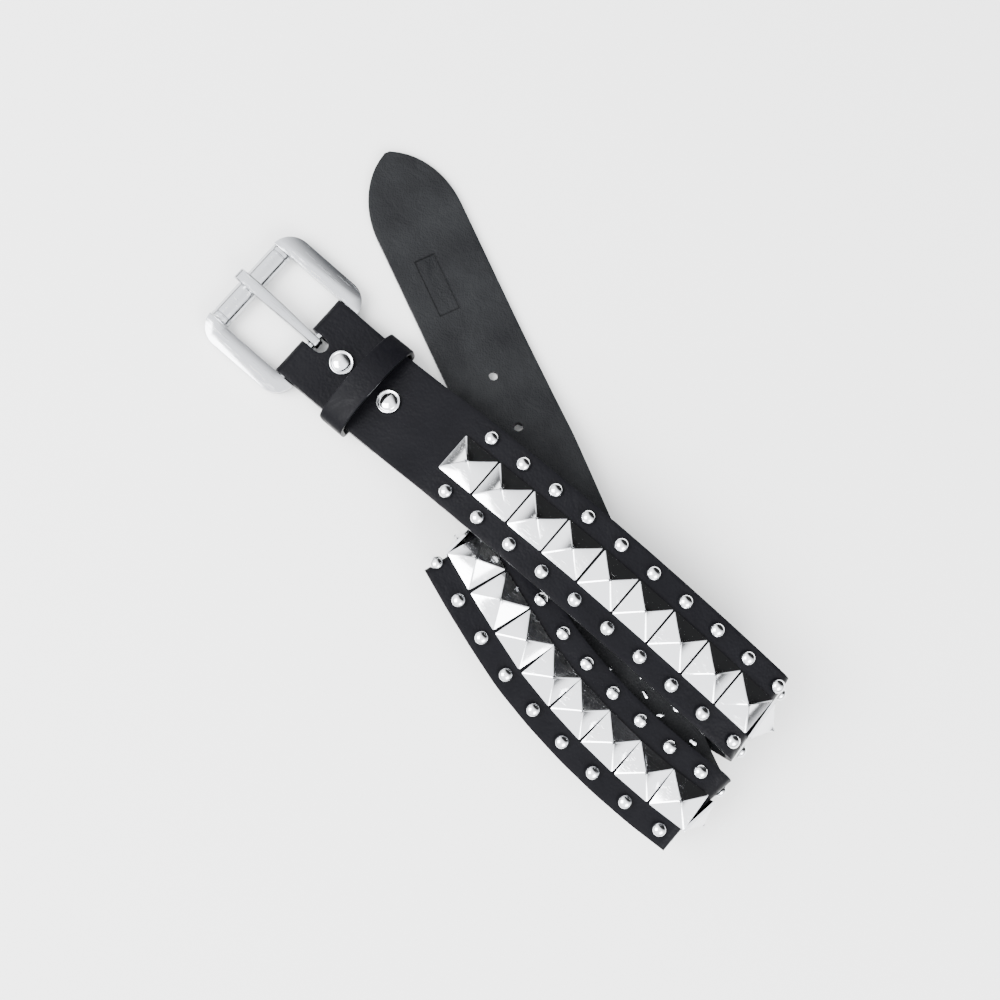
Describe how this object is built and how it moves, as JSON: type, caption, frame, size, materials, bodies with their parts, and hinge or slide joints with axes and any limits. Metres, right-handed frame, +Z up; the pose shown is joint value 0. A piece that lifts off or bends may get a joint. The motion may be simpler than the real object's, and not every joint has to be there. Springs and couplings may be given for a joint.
{
  "type": "studded belt",
  "caption": "Leather belt lying loosely coiled, with square pyramid studs between rows of round studs, a roller buckle with a prong, and a rounded tip with holes.",
  "frame": {"origin": "bottom centre of the belt's box, on the surface that it lies on", "axes": "+Z up; the belt's top run goes along +X from the buckle to the coil; +Y towards the side where the tip comes out"},
  "size_m": [0.297, 0.159, 0.0548],
  "materials": {
    "leather": "black grained leather with a soft sheen, matte grey back",
    "keeper_leather": "black grained leather",
    "chrome": "polished nickel plate"
  },
  "bodies": {
    "strap": {"strap": "leather", "pyramid_stud_01": "chrome", "pyramid_stud_02": "chrome", "pyramid_stud_03": "chrome", "pyramid_stud_04": "chrome", "pyramid_stud_05": "chrome", "pyramid_stud_06": "chrome", "pyramid_stud_07": "chrome", "pyramid_stud_08": "chrome", "pyramid_stud_09": "chrome", "pyramid_stud_10": "chrome", "pyramid_stud_11": "chrome", "pyramid_stud_12": "chrome", "pyramid_stud_13": "chrome", "pyramid_stud_14": "chrome", "pyramid_stud_15": "chrome", "pyramid_stud_16": "chrome", "pyramid_stud_17": "chrome", "pyramid_stud_18": "chrome", "pyramid_stud_19": "chrome", "pyramid_stud_20": "chrome", "pyramid_stud_21": "chrome", "pyramid_stud_22": "chrome", "pyramid_stud_23": "chrome", "pyramid_stud_24": "chrome", "pyramid_stud_25": "chrome", "pyramid_stud_26": "chrome", "pyramid_stud_27": "chrome", "pyramid_stud_28": "chrome", "pyramid_stud_29": "chrome", "pyramid_stud_30": "chrome", "pyramid_stud_31": "chrome", "pyramid_stud_32": "chrome", "keeper_loop": "keeper_leather", "snap_cap_1": "chrome", "snap_cap_2": "chrome"},
    "buckle_frame": {"buckle_frame": "chrome"},
    "buckle_roller": {"buckle_roller": "chrome"},
    "buckle_prong": {"buckle_prong": "chrome"}
  },
  "joints": [
    {"name": "buckle_swing", "type": "hinge", "parent": "strap", "child": "buckle_frame", "pos_m": [-0.10657, -0.01213, 0.00444], "axis": [0, 1, 0], "range_deg": [0, 45]},
    {"name": "prong_swing", "type": "hinge", "parent": "buckle_frame", "child": "buckle_prong", "pos_m": [-0.10657, -0.01213, 0.00444], "axis": [0, 1, 0], "range_deg": [0, 64]},
    {"name": "roller_spin", "type": "hinge", "parent": "buckle_frame", "child": "buckle_roller", "pos_m": [-0.14197, -0.01213, 0.0046], "axis": [0, 1, 0], "continuous": true}
  ]
}
